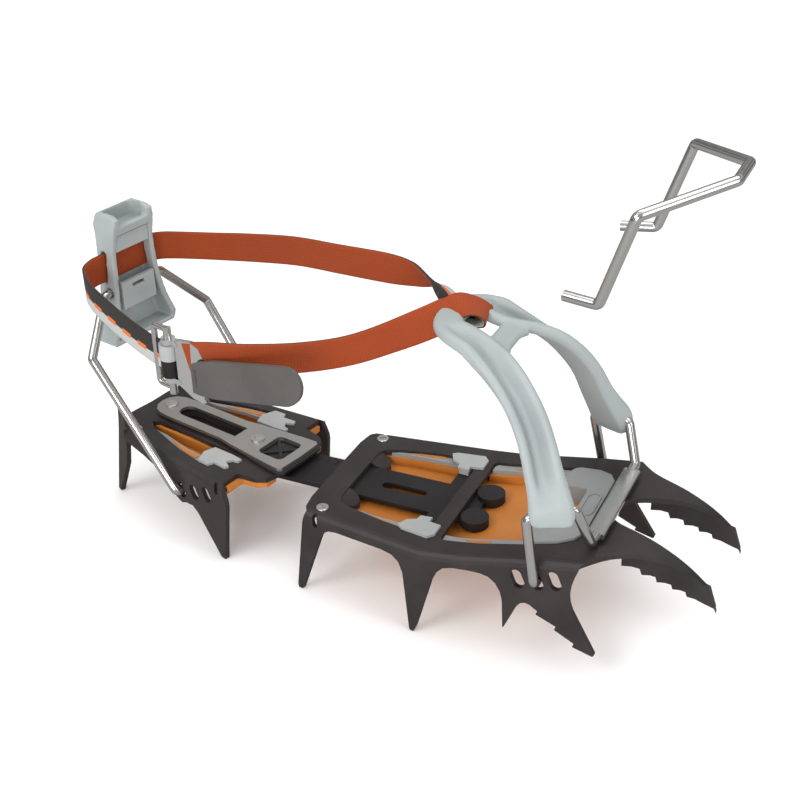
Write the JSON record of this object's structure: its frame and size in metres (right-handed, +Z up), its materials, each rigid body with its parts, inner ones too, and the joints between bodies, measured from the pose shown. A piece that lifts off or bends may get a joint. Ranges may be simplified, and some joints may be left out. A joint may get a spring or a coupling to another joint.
{
  "type": "strap-on crampon",
  "caption": "Strap-on ice crampon: toothed front and heel plates on a sliding bar, toe bail with harness, heel bail with lever, strap, buckle and spare toe bail.",
  "frame": {"origin": "middle of the front section's rear bridge, on its top face", "axes": "+X to the toe, +Y to the far side, +Z up out of the plates"},
  "size_m": [0.3299, 0.1233, 0.2193],
  "materials": {
    "dark_steel": "semi-matt dark coat on pressed steel",
    "bar_steel": "dark coated flat bar",
    "stainless": "stainless spring sheet",
    "bright_wire": "polished stainless wire",
    "polished": "polished buckle plate",
    "rivet_steel": "turned rivet heads",
    "orange_rubber": "flexible orange pad",
    "grey_trim": "grey pad frame",
    "pale_plastic": "pale cool grey moulding",
    "clip_plastic": "light grey clip",
    "black_plastic": "black moulding",
    "web": "woven strap, rust orange inside and charcoal outside",
    "grey_web": "light grey woven loop",
    "dark_web": "charcoal woven loop",
    "tab_sheet": "grey coated tab"
  },
  "bodies": {
    "front_section": {"front_frame": "dark_steel", "front_rivets": "rivet_steel", "front_membrane": "orange_rubber", "front_trim": "grey_trim", "front_inlays": "orange_rubber", "front_clips": "clip_plastic", "toe_pad": "grey_trim", "link_bar": "bar_steel"},
    "heel_section": {"heel_frame": "dark_steel", "heel_rivets": "rivet_steel", "heel_membranes": "orange_rubber", "heel_pad_flaps": "orange_rubber", "heel_trim": "grey_trim", "heel_inlays": "orange_rubber", "heel_clips": "clip_plastic", "bar_guide": "black_plastic", "strap_to_buckle": "web", "strap_far": "web", "strap_heel": "web", "buckle_ring": "bright_wire", "strap_loop_grey": "grey_web", "strap_loop_dark": "dark_web"},
    "adjuster": {"adjuster_spring": "stainless", "adjuster_rivet": "rivet_steel", "adjuster_spacer": "rivet_steel", "locking_stud": "rivet_steel", "adjuster_grip": "black_plastic"},
    "heel_bail": {"heel_bail_wire": "bright_wire"},
    "heel_lever": {"heel_lever": "pale_plastic", "lever_bridge": "pale_plastic", "slider_screw": "rivet_steel", "strap_in_lever": "web"},
    "height_slider": {"height_slider": "pale_plastic"},
    "toe_bail": {"toe_bail_wire": "bright_wire", "harness": "pale_plastic"},
    "buckle_hook": {"buckle_hook": "polished"},
    "pull_tab": {"pull_tab": "tab_sheet"},
    "spare_bail": {"spare_toe_bail": "bright_wire"}
  },
  "joints": [
    {"name": "length_adjust", "type": "slide", "parent": "front_section", "child": "heel_section", "axis": [0.9772, -0.2123, 0], "range_m": [-0.04, 0.001], "deforming": ["strap_to_buckle", "strap_far", "strap_heel"]},
    {"name": "adjuster_lift", "type": "hinge", "parent": "heel_section", "child": "adjuster", "pos_m": [-0.11531, 0.01699, -0.00125], "axis": [-0.2123, -0.9772, 0], "range_deg": [0, 6], "stiffness_Nm_per_rad": 1},
    {"name": "heel_bail_swing", "type": "hinge", "parent": "heel_section", "child": "heel_bail", "pos_m": [-0.07661, 0.00858, -0.016], "axis": [0.2123, 0.9772, 0], "range_deg": [-40, 6]},
    {"name": "heel_lever_swing", "type": "hinge", "parent": "heel_bail", "child": "heel_lever", "pos_m": [-0.13339, 0.02092, 0.069], "axis": [0.2123, 0.9772, 0], "range_deg": [-50, 30]},
    {"name": "height_adjust", "type": "slide", "parent": "heel_lever", "child": "height_slider", "axis": [0, 0, 1], "range_m": [-0.005, 0.005]},
    {"name": "toe_bail_swing", "type": "hinge", "parent": "front_section", "child": "toe_bail", "pos_m": [0.1108, 0, 0.0003], "axis": [0, 1, 0], "range_deg": [-40, 3]},
    {"name": "buckle_swing", "type": "hinge", "parent": "heel_section", "child": "buckle_hook", "pos_m": [-0.07057, -0.04083, 0.068], "axis": [0, 0, 1], "range_deg": [-30, 3]},
    {"name": "tab_swing", "type": "hinge", "parent": "buckle_hook", "child": "pull_tab", "pos_m": [-0.05192, -0.04499, 0.066], "axis": [0, 0, 1], "range_deg": [-20, 3]},
    {"name": "spare_bail_lift", "type": "slide", "parent": "front_section", "child": "spare_bail", "axis": [0, 0, 1], "range_m": [0, 0.05]}
  ]
}
